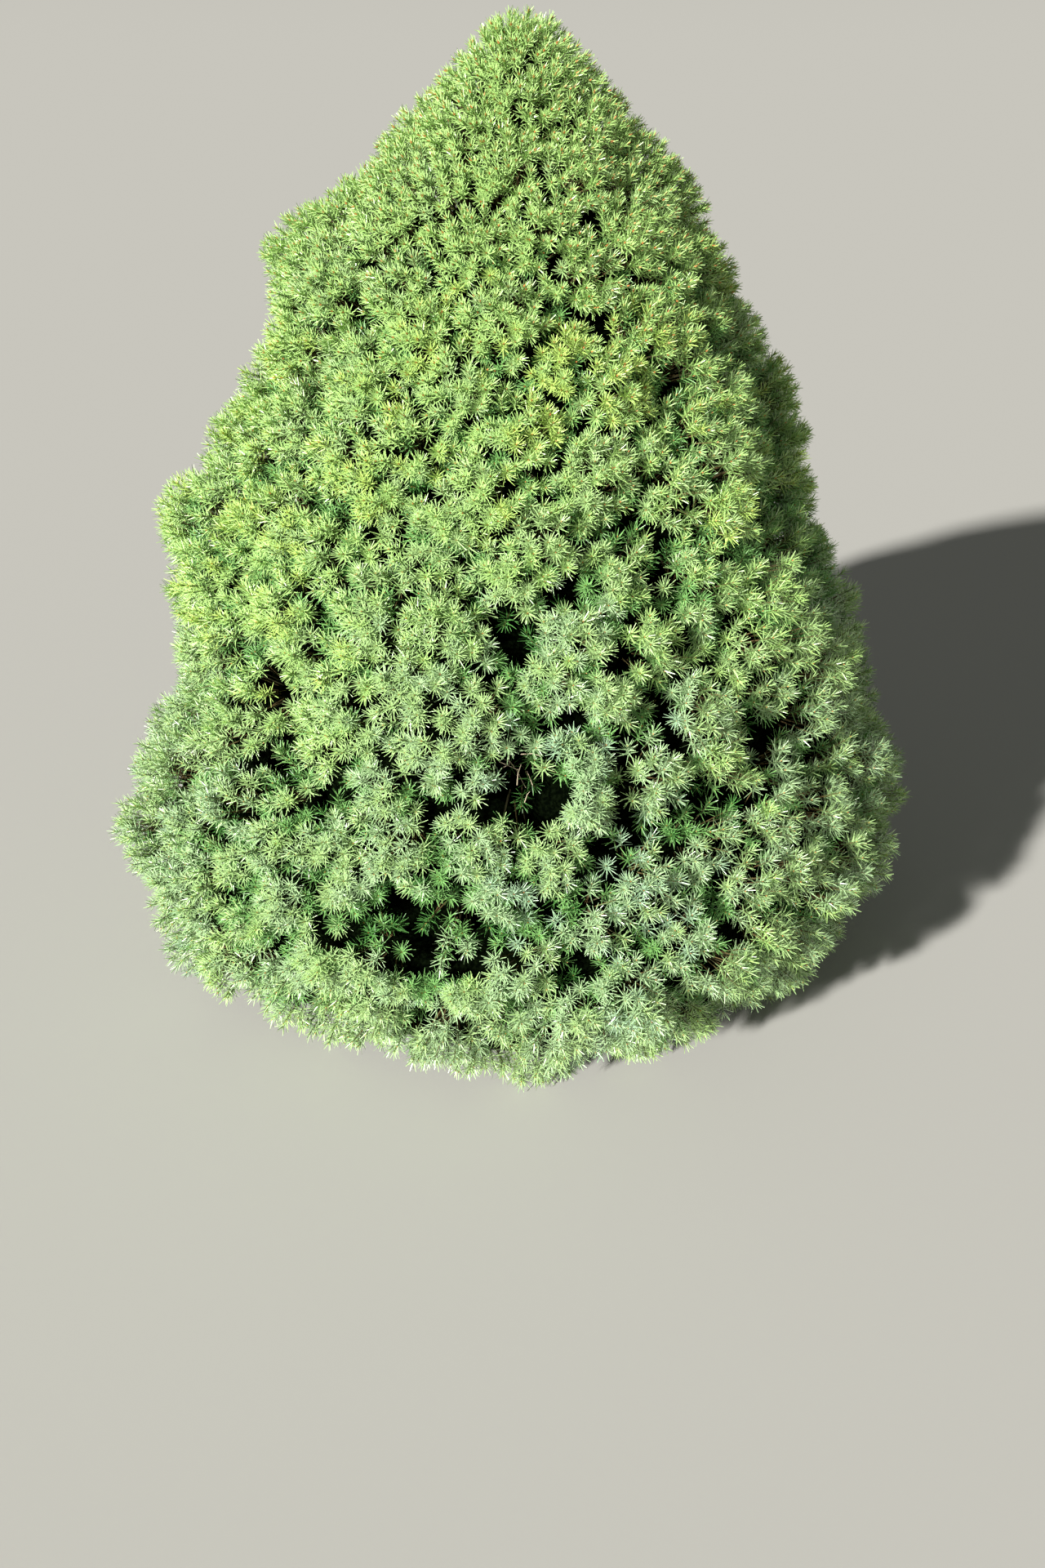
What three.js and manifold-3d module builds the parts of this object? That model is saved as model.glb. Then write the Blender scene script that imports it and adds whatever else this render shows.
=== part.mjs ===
// Dwarf conical spruce: one trunk, two tiers of boughs and tiers of dense foliage masses.
// Millimetres, +Z up. The origin is on the ground, at the centre of the trunk's flat foot.
// Azimuth 0 is the front of the tree (-Y) and grows towards its right-hand side (+X).
import * as THREE from 'three';
import { mergeVertices } from 'three/addons/utils/BufferGeometryUtils.js';
import Module from 'manifold-3d';

const wasm = await Module();
wasm.setup();

const degree = Math.PI / 180;
const goldenAngle = 137.508;
const seatGap = 0.3;

// Crown outline: how far the outermost needles stand from the trunk at each height
const crownTop = 1560;
const crownOutline = [
  { height: 0, radius: 600 },
  { height: 120, radius: 692 },
  { height: 290, radius: 752 },
  { height: 420, radius: 725 },
  { height: 600, radius: 642 },
  { height: 800, radius: 592 },
  { height: 1100, radius: 448 },
  { height: 1300, radius: 312 },
  { height: 1400, radius: 212 },
  { height: 1500, radius: 98 },
  { height: crownTop, radius: 14 }
];

// Where the crown swells out or falls in: width is how far round the crown, tall how far up and down
const crownRelief = [
  { azimuth: -92, height: 1262, width: 170, tall: 85, lift: 74 },
  { azimuth: -84, height: 835, width: 260, tall: 140, lift: 76 },
  { azimuth: -75, height: 270, width: 230, tall: 120, lift: 44 },
  { azimuth: -60, height: 70, width: 250, tall: 150, lift: 80 },
  { azimuth: 18, height: 235, width: 190, tall: 110, lift: 24 },
  { azimuth: 58, height: 720, width: 170, tall: 110, lift: 20 },
  { azimuth: 80, height: 830, width: 230, tall: 120, lift: -46 },
  { azimuth: 72, height: 1165, width: 210, tall: 120, lift: -32 },
  { azimuth: -16, height: 446, width: 165, tall: 34, lift: -120 },
  { azimuth: -1, height: 630, width: 38, tall: 42, lift: -170 },
  { azimuth: 27, height: 600, width: 40, tall: 50, lift: -110 }
];

// Tiers of foliage, from the ground up. Depth is how far a mass's heart lies inside the outline
const tiers = [
  { name: 'skirt', height: 112, count: 8, azimuth: -10, depth: 185, limbBase: 72, bough: true },
  { name: 'low', height: 325, count: 8, azimuth: 15, depth: 190, limbBase: 165, bough: true },
  { name: 'waist', height: 575, count: 7, azimuth: -27, depth: 180, limbBase: 390 },
  { name: 'middle', height: 805, count: 6, azimuth: 4, depth: 170, limbBase: 640 },
  { name: 'upper', height: 1022, count: 5, azimuth: -34, depth: 160, limbBase: 880 },
  { name: 'shoulder', height: 1222, count: 4, azimuth: 16, depth: 150, limbBase: 1105 }
];
const tierPitch = 222;
const azimuthJitter = 7;
const heightJitter = 16;
const limbBaseJitter = 10;
const deepestHollow = 30;

const marginUp = 0.6;
const marginOut = 0.9;

// A mass: its own cell of the crown, a dense heart and the sprays that stand out of it
const cellGap = 6;
const heartRounding = 18;
const heartRoughness = 0.07;
const heartBack = 0.8;
const groundGap = 1.5;
const topHeart = 1420;
const topWidth = 110;

// Sprays end on one golden-angle spiral that climbs the crown, evenly over its surface
const sprayCount = 225;
const sprayStand = 42;
const spraySink = 38;
const sprayFront = 25;
const sprayNeedles = 4;
const needleSpread = 60;
const valleySpread = 15;
const needleSweep = 12;
const spraySizes = [1, 0.85, 0.7, 0.55];
const sprayPull = 0.12;
const topSpraySize = 0.85;
const tipInset = 7;

// Trunk, boughs and stems
const trunkTop = 1285;
const trunkFootRadius = 43;
const trunkTipRadius = 4.5;
const trunkSides = 12;
const trunkRings = 13;
const flareRadius = 25;
const flareHeight = 48;
const flareLobes = 5;
const lobeDepth = 0.35;
const taperPower = 0.9;
const ringCrowding = 1.7;
const trunkLean = 12;
const trunkSway = 9;
const boughBaseRadius = 12.5;
const boughTipRadius = 6.5;
const boughSides = 6;
const boughRings = 3;
const limbBend = 0.55;
const limbRise = 0.38;
const stemSides = 5;
const stemTipRadius = 3.5;
const stemThinning = 0.0067;
const stemBareLength = 16;

const meshTolerance = 1.5;

const chance = key => {
  const value = Math.sin(key * 12.9898) * 43758.5453;
  return value - Math.floor(value);
};

const spread = (key, reach) => (2 * chance(key) - 1) * reach;

const crownPoint = (azimuth, radius, height) =>
  new THREE.Vector3(radius * Math.sin(azimuth * degree), -radius * Math.cos(azimuth * degree), height);

const azimuthOf = point => Math.atan2(point.x, -point.y) / degree;

// Crown

function outlineRadius(height) {
  if (height <= 0) return crownOutline[0].radius;
  for (let i = 1; i < crownOutline.length; i += 1) {
    const below = crownOutline[i - 1];
    const above = crownOutline[i];
    if (height <= above.height) {
      const part = (height - below.height) / (above.height - below.height);
      return THREE.MathUtils.lerp(below.radius, above.radius, part);
    }
  }
  return 0;
}

function crownReach(azimuth, height) {
  let reach = outlineRadius(height);
  for (const place of crownRelief) {
    const turn = THREE.MathUtils.euclideanModulo(azimuth - place.azimuth + 180, 360) - 180;
    const across = turn * degree * outlineRadius(place.height) / place.width;
    const along = (height - place.height) / place.tall;
    reach += place.lift * Math.exp(-across * across - along * along);
  }
  return reach;
}

// Whether a point is deeper in the crown than a margin, on its sloping sides and under its tip
function insideCrown(point, margin) {
  const height = point.z + marginUp * margin;
  const reach = crownReach(azimuthOf(point), height) - marginOut * margin;
  return height < crownTop && Math.hypot(point.x, point.y) < reach;
}

// Closed meshes and solids

function solidOf(geometry) {
  const bare = geometry.clone();
  bare.deleteAttribute('normal');
  bare.deleteAttribute('uv');
  const merged = mergeVertices(bare, 1e-4);
  const faces = [];
  for (let i = 0; i < merged.index.count; i += 3) {
    const [a, b, c] = [0, 1, 2].map(corner => merged.index.getX(i + corner));
    if (a !== b && b !== c && c !== a) faces.push(a, b, c);
  }
  return new wasm.Manifold(new wasm.Mesh({
    numProp: 3,
    vertProperties: new Float32Array(merged.attributes.position.array),
    triVerts: new Uint32Array(faces)
  }));
}

function geometryOf(solid) {
  const mesh = solid.getMesh();
  const geometry = new THREE.BufferGeometry();
  geometry.setAttribute('position', new THREE.BufferAttribute(mesh.vertProperties.slice(), 3));
  geometry.setIndex(new THREE.BufferAttribute(mesh.triVerts.slice(), 1));
  geometry.computeVertexNormals();
  return geometry;
}

// A round bar whose rings follow a curve, with a radius for each place along it
function limbGeometry(curve, radiusAt, sides, rings) {
  const geometry = new THREE.CylinderGeometry(1, 1, 1, sides, rings);
  const position = geometry.attributes.position;
  const point = new THREE.Vector3();
  for (let i = 0; i < position.count; i += 1) {
    point.fromBufferAttribute(position, i);
    const along = point.y + 0.5;
    const tangent = curve.getTangent(along);
    const side = new THREE.Vector3(0, 0, 1).cross(tangent).normalize();
    const over = tangent.clone().cross(side);
    const radius = radiusAt(along);
    const centre = curve.getPoint(along);
    centre.addScaledVector(side, point.z * radius).addScaledVector(over, point.x * radius);
    position.setXYZ(i, centre.x, centre.y, centre.z);
  }
  return geometry;
}

// Trunk

function trunkCentre(height) {
  const part = height / trunkTop;
  return new THREE.Vector3(trunkLean * part * part, trunkSway * Math.sin(Math.PI * part), height);
}

function trunkRadius(height, angle) {
  const part = Math.pow(height / trunkTop, taperPower);
  const taper = THREE.MathUtils.lerp(trunkFootRadius, trunkTipRadius, part);
  const flare = flareRadius * Math.exp(-height / flareHeight);
  return taper + flare * (1 + lobeDepth * Math.cos(flareLobes * angle));
}

function trunkGeometry(clearance) {
  const geometry = new THREE.CylinderGeometry(1, 1, 1, trunkSides, trunkRings);
  const position = geometry.attributes.position;
  for (let i = 0; i < position.count; i += 1) {
    const part = position.getY(i) + 0.5;
    const height = trunkTop * Math.pow(part, ringCrowding);
    const [x, y] = [position.getX(i), -position.getZ(i)];
    const angle = Math.atan2(y, x);
    const radius = Math.hypot(x, y) * (trunkRadius(height, angle) + clearance);
    const centre = trunkCentre(height);
    position.setXYZ(i, centre.x + radius * Math.cos(angle), centre.y + radius * Math.sin(angle), height);
  }
  return geometry;
}

const trunk = solidOf(trunkGeometry(0));
const trunkKeepOut = solidOf(trunkGeometry(seatGap * 1.05));

// Masses: where each one's heart is, and the limb that carries it

function makeMass(tier, index) {
  const key = tiers.indexOf(tier) * 20 + index + 1;
  const azimuth = tier.azimuth + (index * 360) / tier.count + spread(key, azimuthJitter);
  const height = tier.height + spread(key + 0.37, heightJitter);
  const reach = crownReach(azimuth, height);
  const outline = Math.max(reach, outlineRadius(height) - deepestHollow);
  const heart = crownPoint(azimuth, outline - tier.depth, height);
  const foot = trunkCentre(tier.limbBase + spread(key + 0.71, limbBaseJitter));
  const name = `${tier.name}_${index + 1}`;
  const halfWidth = (Math.PI * reach) / tier.count;
  return { key, name, tier, azimuth, height, heart, foot, halfWidth, halfDepth: tier.depth };
}

const sideMasses = tiers.flatMap(tier =>
  Array.from({ length: tier.count }, (_, index) => makeMass(tier, index)));

const topMass = {
  key: 141,
  name: 'top',
  azimuth: 0,
  height: topHeart,
  heart: trunkCentre(trunkTop).setZ(topHeart),
  foot: trunkCentre(trunkTop).setZ(trunkTop + seatGap),
  halfWidth: topWidth,
  halfDepth: topWidth
};

const masses = [...sideMasses, topMass];

// The curve from the trunk to a mass's heart: level at first, then rising into the mass
function limbCurve(mass) {
  const bend = mass.foot.clone().lerp(mass.heart, limbBend);
  bend.z = THREE.MathUtils.lerp(mass.foot.z, mass.heart.z, limbRise);
  return new THREE.QuadraticBezierCurve3(mass.foot, bend, mass.heart);
}

// A mass's cell: flat limits, each a normal and its distance from the heart
function cellLimits(mass) {
  const limits = masses.filter(other => other !== mass).map(other => {
    const normal = other.heart.clone().sub(mass.heart);
    const distance = normal.length() / 2 - cellGap / 2;
    return { normal: normal.normalize(), distance };
  });
  limits.push({ normal: new THREE.Vector3(0, 0, -1), distance: mass.heart.z - groundGap });
  return limits;
}

function innerLimit(mass) {
  const normal = limbCurve(mass).getTangent(1).negate();
  const distance = mass === topMass ? topHeart - trunkTop - stemBareLength : heartBack * mass.tier.depth;
  return { normal, distance };
}

const withinLimits = (point, mass, limits) =>
  limits.every(limit => point.clone().sub(mass.heart).dot(limit.normal) <= limit.distance);

function travelToCrown(from, direction, margin) {
  let [near, far] = [0, 700];
  for (let i = 0; i < 22; i += 1) {
    const middle = (near + far) / 2;
    if (insideCrown(from.clone().addScaledVector(direction, middle), margin)) near = middle;
    else far = middle;
  }
  return near;
}

// How far the heart reaches in a direction: a rounded least of all its limits
function heartReach(mass, limits, direction) {
  let sum = Math.pow(1 / travelToCrown(mass.heart, direction, sprayStand), heartRounding);
  for (const limit of limits) {
    const facing = limit.normal.dot(direction);
    if (facing > 0) sum += Math.pow(facing / limit.distance, heartRounding);
  }
  return Math.pow(sum, -1 / heartRounding);
}

function heartGeometry(mass, limits) {
  const geometry = new THREE.IcosahedronGeometry(1, 1);
  const outward = crownPoint(mass.azimuth, 1, 0);
  const sideways = crownPoint(mass.azimuth + 90, 1, 0);
  const position = geometry.attributes.position;
  for (let i = 0; i < position.count; i += 1) {
    const [x, y, z] = [position.getX(i), position.getY(i), position.getZ(i)];
    const direction = new THREE.Vector3(0, 0, (z * tierPitch) / 2)
      .addScaledVector(outward, x * mass.halfDepth)
      .addScaledVector(sideways, y * mass.halfWidth)
      .normalize();
    const rough = 1 - heartRoughness * chance(mass.key + 3 * x + 5 * y + 7 * z);
    const corner = direction.clone().multiplyScalar(rough * heartReach(mass, limits, direction));
    corner.add(mass.heart);
    position.setXYZ(i, corner.x, corner.y, corner.z);
  }
  return geometry;
}

// Sprays: a slim pointed shoot with a star of needles, its root sunk in the heart

function sprayGeometry(tip, direction, root, size, roll) {
  const profile = [
    new THREE.Vector2(0, -root),
    new THREE.Vector2(1, -sprayFront * size),
    new THREE.Vector2(0, 0)
  ];
  const geometry = new THREE.LatheGeometry(profile, 2 * sprayNeedles);
  const position = geometry.attributes.position;
  for (let i = 0; i < position.count; i += 1) {
    if (i % profile.length !== 1) continue;
    const isNeedle = ((i - 1) / profile.length) % 2 === 0;
    const radius = (isNeedle ? needleSpread : valleySpread) * size;
    const sweep = isNeedle ? needleSweep * size : 0;
    position.setXYZ(i, position.getX(i) * radius, position.getY(i) + sweep, position.getZ(i) * radius);
  }
  const turn = new THREE.Quaternion().setFromUnitVectors(new THREE.Vector3(0, 1, 0), direction);
  geometry.rotateY(roll);
  geometry.applyQuaternion(turn);
  geometry.translate(tip.x, tip.y, tip.z);
  return geometry;
}

// The heights that share the crown's surface out evenly, one for each spray
function spiralHeights(count) {
  const step = 5;
  const areas = [0];
  for (let height = step; height <= crownTop; height += step) {
    const [below, above] = [outlineRadius(height - step), outlineRadius(height)];
    const slant = Math.hypot(step, above - below);
    areas.push(areas[areas.length - 1] + Math.PI * (below + above) * slant);
  }
  const total = areas[areas.length - 1];
  let ring = 0;
  return Array.from({ length: count }, (_, index) => {
    const wanted = (total * (index + 0.5)) / count;
    while (areas[ring + 1] < wanted) ring += 1;
    return step * (ring + (wanted - areas[ring]) / (areas[ring + 1] - areas[ring]));
  });
}

// Every spray's tip, kept by the mass whose heart is nearest
function shareTips(count) {
  const shares = new Map(masses.map(mass => [mass, []]));
  spiralHeights(count).forEach((height, index) => {
    const azimuth = index * goldenAngle;
    const tip = crownPoint(azimuth, crownReach(azimuth, height) - tipInset, height);
    const nearest = masses.reduce((best, mass) =>
      (tip.distanceTo(mass.heart) < tip.distanceTo(best.heart) ? mass : best));
    shares.get(nearest).push(tip);
  });
  shares.get(topMass).push(crownPoint(0, 0, crownTop));
  return shares;
}

function insideHeart(point, mass, limits) {
  const offset = point.clone().sub(mass.heart);
  const reach = heartReach(mass, limits, offset.clone().normalize());
  return offset.length() < (1 - heartRoughness) * reach;
}

// Straight out of the crown's outline
function outwardAt(tip) {
  const reach = 40;
  const fall = (outlineRadius(tip.z - reach) - outlineRadius(tip.z + reach)) / (2 * reach);
  return crownPoint(azimuthOf(tip), 1, fall).normalize();
}

// A spray faces half out of the crown and half away from its mass's heart
function sprayDirection(tip, mass) {
  const away = tip.clone().sub(mass.heart).normalize();
  const onAxis = Math.min(1, Math.hypot(tip.x, tip.y) / needleSpread);
  return away.addScaledVector(outwardAt(tip), onAxis).normalize();
}

// How far back from its tip a spray's root goes to be well sunk in the heart
function rootLength(tip, direction, mass, limits) {
  const step = 4;
  let length = sprayFront;
  while (!insideHeart(tip.clone().addScaledVector(direction, -length), mass, limits)) {
    length += step;
    if (length > crownTop) return 0;
  }
  return length + spraySink;
}

// A spray that would leave its cell is drawn in and made smaller, and at last skipped
function fittedSpray(tip, key, mass, limits) {
  const inward = mass.heart.clone().sub(tip).projectOnPlane(outwardAt(tip));
  const largest = mass === topMass ? topSpraySize : 1;
  for (const [attempt, size] of spraySizes.entries()) {
    const drawn = tip.clone().addScaledVector(inward, sprayPull * attempt);
    const direction = sprayDirection(drawn, mass);
    const root = rootLength(drawn, direction, mass, limits);
    const geometry = sprayGeometry(drawn, direction, root, size * largest, 2 * Math.PI * chance(key));
    const corners = Array.from({ length: geometry.attributes.position.count }, (_, i) =>
      new THREE.Vector3().fromBufferAttribute(geometry.attributes.position, i));
    if (root > 0 && corners.every(corner => withinLimits(corner, mass, limits))) return geometry;
  }
  return null;
}

function addSprays(solid, mass, limits, tips) {
  return tips.reduce((result, tip, index) => {
    const geometry = fittedSpray(tip, mass.key + index * 3.1, mass, limits);
    return geometry ? result.add(solidOf(geometry)) : result;
  }, solid);
}

// The stretch of a limb between two places along its curve
class LimbStretch extends THREE.Curve {
  constructor(curve, from, to) {
    super();
    Object.assign(this, { curve, from, to });
  }

  getPoint(part) {
    return this.curve.getPoint(THREE.MathUtils.lerp(this.from, this.to, part));
  }
}

// Where along its limb a mass's stem starts, just short of the heart
function stemStart(mass, curve) {
  const bare = innerLimit(mass).distance + stemBareLength;
  let [near, far] = [0, 1];
  for (let i = 0; i < 24; i += 1) {
    const middle = (near + far) / 2;
    if (curve.getPoint(middle).distanceTo(mass.heart) > bare) near = middle;
    else far = middle;
  }
  return near;
}

function makeBough(mass) {
  const curve = limbCurve(mass);
  const end = stemStart(mass, curve);
  const radiusAt = part => THREE.MathUtils.lerp(boughBaseRadius, boughTipRadius, part);
  const bar = limbGeometry(new LimbStretch(curve, 0, end), radiusAt, boughSides, boughRings);
  return solidOf(bar).subtract(trunkKeepOut);
}

// A stem goes on from its bough or the leader, or starts at the trunk itself
function makeStem(mass) {
  const curve = limbCurve(mass);
  if (mass === topMass || mass.tier.bough) {
    const start = mass === topMass ? 0 : stemStart(mass, curve) + seatGap / curve.getLength();
    const radiusAt = part => THREE.MathUtils.lerp(boughTipRadius - 1, stemTipRadius, part);
    return solidOf(limbGeometry(new LimbStretch(curve, start, 1), radiusAt, stemSides, 1));
  }
  const baseRadius = boughBaseRadius - stemThinning * mass.foot.z;
  const radiusAt = part => THREE.MathUtils.lerp(baseRadius, stemTipRadius, part);
  return solidOf(limbGeometry(curve, radiusAt, stemSides, boughRings)).subtract(trunkKeepOut);
}

function makeFoliage(mass, tips) {
  const limits = [...cellLimits(mass), innerLimit(mass)];
  const heart = solidOf(heartGeometry(mass, limits));
  const foliage = addSprays(heart, mass, limits, tips).simplify(meshTolerance);
  const pieces = foliage.add(makeStem(mass)).decompose();
  return pieces.reduce((largest, piece) => (piece.volume() > largest.volume() ? piece : largest));
}

// Finishes

const barkMaterial = new THREE.MeshStandardMaterial({ color: 0x6a5443, roughness: 0.92, metalness: 0 });
const boughMaterial = new THREE.MeshStandardMaterial({ color: 0x7d6550, roughness: 0.88, metalness: 0 });
const needleColors = [0x6f9a4a, 0x7ca653, 0x5f8f4c, 0x86ad5a];

const tree = new THREE.Group();

function addNode(name, solid, material) {
  const mesh = new THREE.Mesh(geometryOf(solid), material);
  mesh.name = name;
  tree.add(mesh);
}

addNode('trunk', trunk, barkMaterial);
for (const mass of sideMasses) {
  if (mass.tier.bough) addNode(`bough_${mass.name}`, makeBough(mass), boughMaterial);
}
for (const [mass, tips] of shareTips(sprayCount)) {
  const color = needleColors[Math.floor(needleColors.length * chance(mass.key + 0.19))];
  const material = new THREE.MeshStandardMaterial({ color, roughness: 0.7, metalness: 0 });
  addNode(`foliage_${mass.name}`, makeFoliage(mass, tips), material);
}

export default tree;
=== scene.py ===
from math import radians

import bmesh
import bpy
import numpy as np
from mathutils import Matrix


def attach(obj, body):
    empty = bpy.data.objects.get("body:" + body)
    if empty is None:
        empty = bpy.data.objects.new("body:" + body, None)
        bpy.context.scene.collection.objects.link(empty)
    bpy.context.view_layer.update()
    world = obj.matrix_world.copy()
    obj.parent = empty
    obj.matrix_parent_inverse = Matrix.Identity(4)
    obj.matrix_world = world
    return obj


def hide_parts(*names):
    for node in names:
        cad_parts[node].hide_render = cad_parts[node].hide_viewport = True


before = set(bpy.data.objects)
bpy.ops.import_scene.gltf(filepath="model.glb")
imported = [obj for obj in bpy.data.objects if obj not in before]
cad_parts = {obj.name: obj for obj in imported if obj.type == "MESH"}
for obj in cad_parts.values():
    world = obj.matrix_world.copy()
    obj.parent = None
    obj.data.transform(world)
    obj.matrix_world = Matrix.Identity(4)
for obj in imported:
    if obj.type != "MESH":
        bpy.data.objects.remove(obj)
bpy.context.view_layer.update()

print("frame loaded:", len(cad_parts), "nodes")

# Metres, +Z up, the origin under the trunk. Azimuth 0 is the front (-Y) and grows to the right (+X)
goldenAngle = 137.508
up = np.array([0.0, 0.0, 1.0])


def chance(key):
    value = np.sin(np.asarray(key, float) * 12.9898) * 43758.5453
    return value - np.floor(value)


def spread(key, reach):
    return (2 * chance(key) - 1) * reach


def mix(first, last, part):
    return first + (last - first) * part


def unit(vectors):
    return vectors / np.maximum(np.linalg.norm(vectors, axis=-1, keepdims=True), 1e-9)


def acrossAxes(axes):
    # two directions square to each axis and to each other
    flat = np.where(np.abs(axes[..., 2:]) < 0.9, up, np.array([1.0, 0.0, 0.0]))
    side = unit(np.cross(flat, axes))
    return side, np.cross(axes, side)


# Crown
crown = {
    "top": 1.56,
    "outline": [  # height, radius
        (0.00, 0.600), (0.12, 0.692), (0.29, 0.752), (0.42, 0.725), (0.60, 0.642), (0.80, 0.592),
        (1.10, 0.448), (1.30, 0.312), (1.40, 0.212), (1.505, 0.098), (1.545, 0.052), (1.56, 0.022),
    ],
    "relief": [  # azimuth, height, width round, tall, lift
        (-92, 1.262, 0.170, 0.085, 0.074),
        (-84, 0.835, 0.260, 0.140, 0.076),
        (-75, 0.270, 0.230, 0.120, 0.044),
        (-60, 0.070, 0.250, 0.150, 0.080),
        (18, 0.235, 0.190, 0.110, 0.024),
        (58, 0.720, 0.170, 0.110, 0.020),
        (80, 0.830, 0.230, 0.120, -0.046),
        (72, 1.165, 0.210, 0.120, -0.032),
        (-13, 0.408, 0.125, 0.030, -0.115),
        (-1, 0.620, 0.021, 0.034, -0.130),
        (7, 0.618, 0.030, 0.040, 0.030),
        (27, 0.576, 0.019, 0.024, -0.090),
        (-15, 0.690, 0.150, 0.160, 0.026),
        (46, 0.829, 0.065, 0.100, 0.024),
        (14, 0.300, 0.120, 0.100, 0.018),
        (36, 0.980, 0.060, 0.160, 0.020),
        (60, 1.000, 0.070, 0.140, -0.022),
        (10, 0.740, 0.080, 0.130, 0.018),
    ],
    "gaps": [  # small dark gaps between clumps: azimuth, height, half width, half height, depth
        (-8, 1.154, 0.022, 0.014, 0.07), (11, 1.151, 0.018, 0.012, 0.07), (5, 1.057, 0.013, 0.013, 0.06),
        (36, 1.139, 0.012, 0.03, 0.07), (-22, 1.020, 0.014, 0.017, 0.08), (-18, 0.945, 0.024, 0.013, 0.08),
        (-30, 0.885, 0.018, 0.014, 0.07), (-28, 0.815, 0.018, 0.014, 0.06), (-43, 0.69, 0.02, 0.03, 0.07),
        (-33, 0.65, 0.018, 0.018, 0.07), (9, 0.882, 0.014, 0.016, 0.07), (-1, 0.83, 0.018, 0.026, 0.06),
        (-1, 0.757, 0.012, 0.05, 0.05), (15, 0.80, 0.013, 0.026, 0.07), (31, 0.835, 0.016, 0.06, 0.05),
        (37, 0.907, 0.015, 0.028, 0.08), (28, 0.86, 0.016, 0.018, 0.07), (24, 0.915, 0.015, 0.018, 0.07),
        (10, 0.687, 0.013, 0.013, 0.06), (-8, 0.632, 0.01, 0.02, 0.06), (14, 0.567, 0.014, 0.016, 0.06),
        (12, 0.525, 0.028, 0.014, 0.075), (21, 0.521, 0.018, 0.016, 0.075), (38, 0.652, 0.016, 0.018, 0.07),
        (-40, 0.353, 0.03, 0.018, 0.07), (-1, 0.614, 0.013, 0.024, 0.12), (1.5, 0.59, 0.012, 0.014, 0.12),
    ],
    "calm": [  # places where the clumps close up: azimuth, height, half width, half height, share
        (-13, 1.090, 0.270, 0.260, 0.95), (-18, 0.740, 0.130, 0.130, 0.70),
        (29, 0.805, 0.050, 0.050, 0.80), (7, 0.615, 0.045, 0.045, 1.00),
        (-6, 0.585, 0.030, 0.030, 0.90), (11, 0.595, 0.040, 0.040, 0.80), (33, 0.700, 0.040, 0.050, 0.80),
        (1, 0.070, 0.080, 0.080, 1.00),
    ],
    "narrowTop": 0.30,  # where the crown is slimmer than this, its relief and margins shrink
    "leastMargin": 0.35,  # to this share of them at the least
}


def outlineRadius(height):
    return np.interp(height, *zip(*crown["outline"]))


def swell(azimuth, height, places):
    total = np.zeros(np.broadcast(azimuth, height).shape)
    for placeAzimuth, placeHeight, width, tall, lift in places:
        turn = (azimuth - placeAzimuth + 180) % 360 - 180
        across = np.radians(turn) * outlineRadius(placeHeight) / width
        along = (height - placeHeight) / tall
        total = total + lift * np.exp(-across**2 - along**2)
    return total


def crownReach(azimuth, height):
    return outlineRadius(height) + swell(azimuth, height, crown["relief"])


def crownPoint(azimuth, radius, height):
    turn = np.radians(azimuth)
    return np.stack(np.broadcast_arrays(radius * np.sin(turn), -radius * np.cos(turn), height), -1)


def azimuthOf(points):
    return np.degrees(np.arctan2(points[..., 0], -points[..., 1]))


def plainSurface(azimuth, height):
    return crownPoint(azimuth, outlineRadius(height), height)


def crownSurface(azimuth, height):
    return crownPoint(azimuth, crownReach(azimuth, height), height)


def crownSlope(azimuth, height, step):
    turn = np.degrees(step / np.maximum(outlineRadius(height), step))
    low, high = np.maximum(height - step, 0), np.minimum(height + step, crown["top"])
    across = crownSurface(azimuth + turn, height) - crownSurface(azimuth - turn, height)
    along = crownSurface(azimuth, high) - crownSurface(azimuth, low)
    return np.cross(across, along) / (2 * step * (high - low))[..., None]


def crownNormal(azimuth, height, step):
    return unit(crownSlope(azimuth, height, step))


def insideCrown(points, marginUp, marginOut):
    azimuth, height = azimuthOf(points), points[..., 2]
    slim = np.clip(outlineRadius(height) / crown["narrowTop"], crown["leastMargin"], 1)
    above = height + marginUp * slim
    reach = np.minimum(crownReach(azimuth, height), crownReach(azimuth, above)) - marginOut * slim
    return (above < crown["top"]) & (np.hypot(points[..., 0], points[..., 1]) < reach)


# Trunk, boughs and the masses that they carry
trunk = {
    "top": 1.285, "footRadius": 0.043, "tipRadius": 0.0045, "taperPower": 0.9,
    "flareRadius": 0.025, "flareHeight": 0.048, "flareLobes": 5, "lobeDepth": 0.35,
    "lean": 0.012, "sway": 0.009,
    "sides": 72, "rings": 230, "ringCrowding": 1.5,
    "flakeColumns": 17, "flakeTall": 0.016, "flakeLift": 0.0016,
}
limb = {
    "bend": 0.55, "rise": 0.38,
    "boughBase": 0.0125, "boughTip": 0.0065, "stemBase": 0.0055, "stemTip": 0.0035,
    "stemThinning": 0.0067, "bareLength": 0.016, "collar": 0.35, "collarLength": 0.03, "sunkIn": 0.004,
    "sides": 12, "rings": 44, "stemSides": 8, "stemRings": 18, "samples": 400,
    "flakeColumns": 6, "flakeLength": 0.011, "flakeLift": 0.0007, "ridge": 0.06, "ridgeTurns": 9,
}
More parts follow.
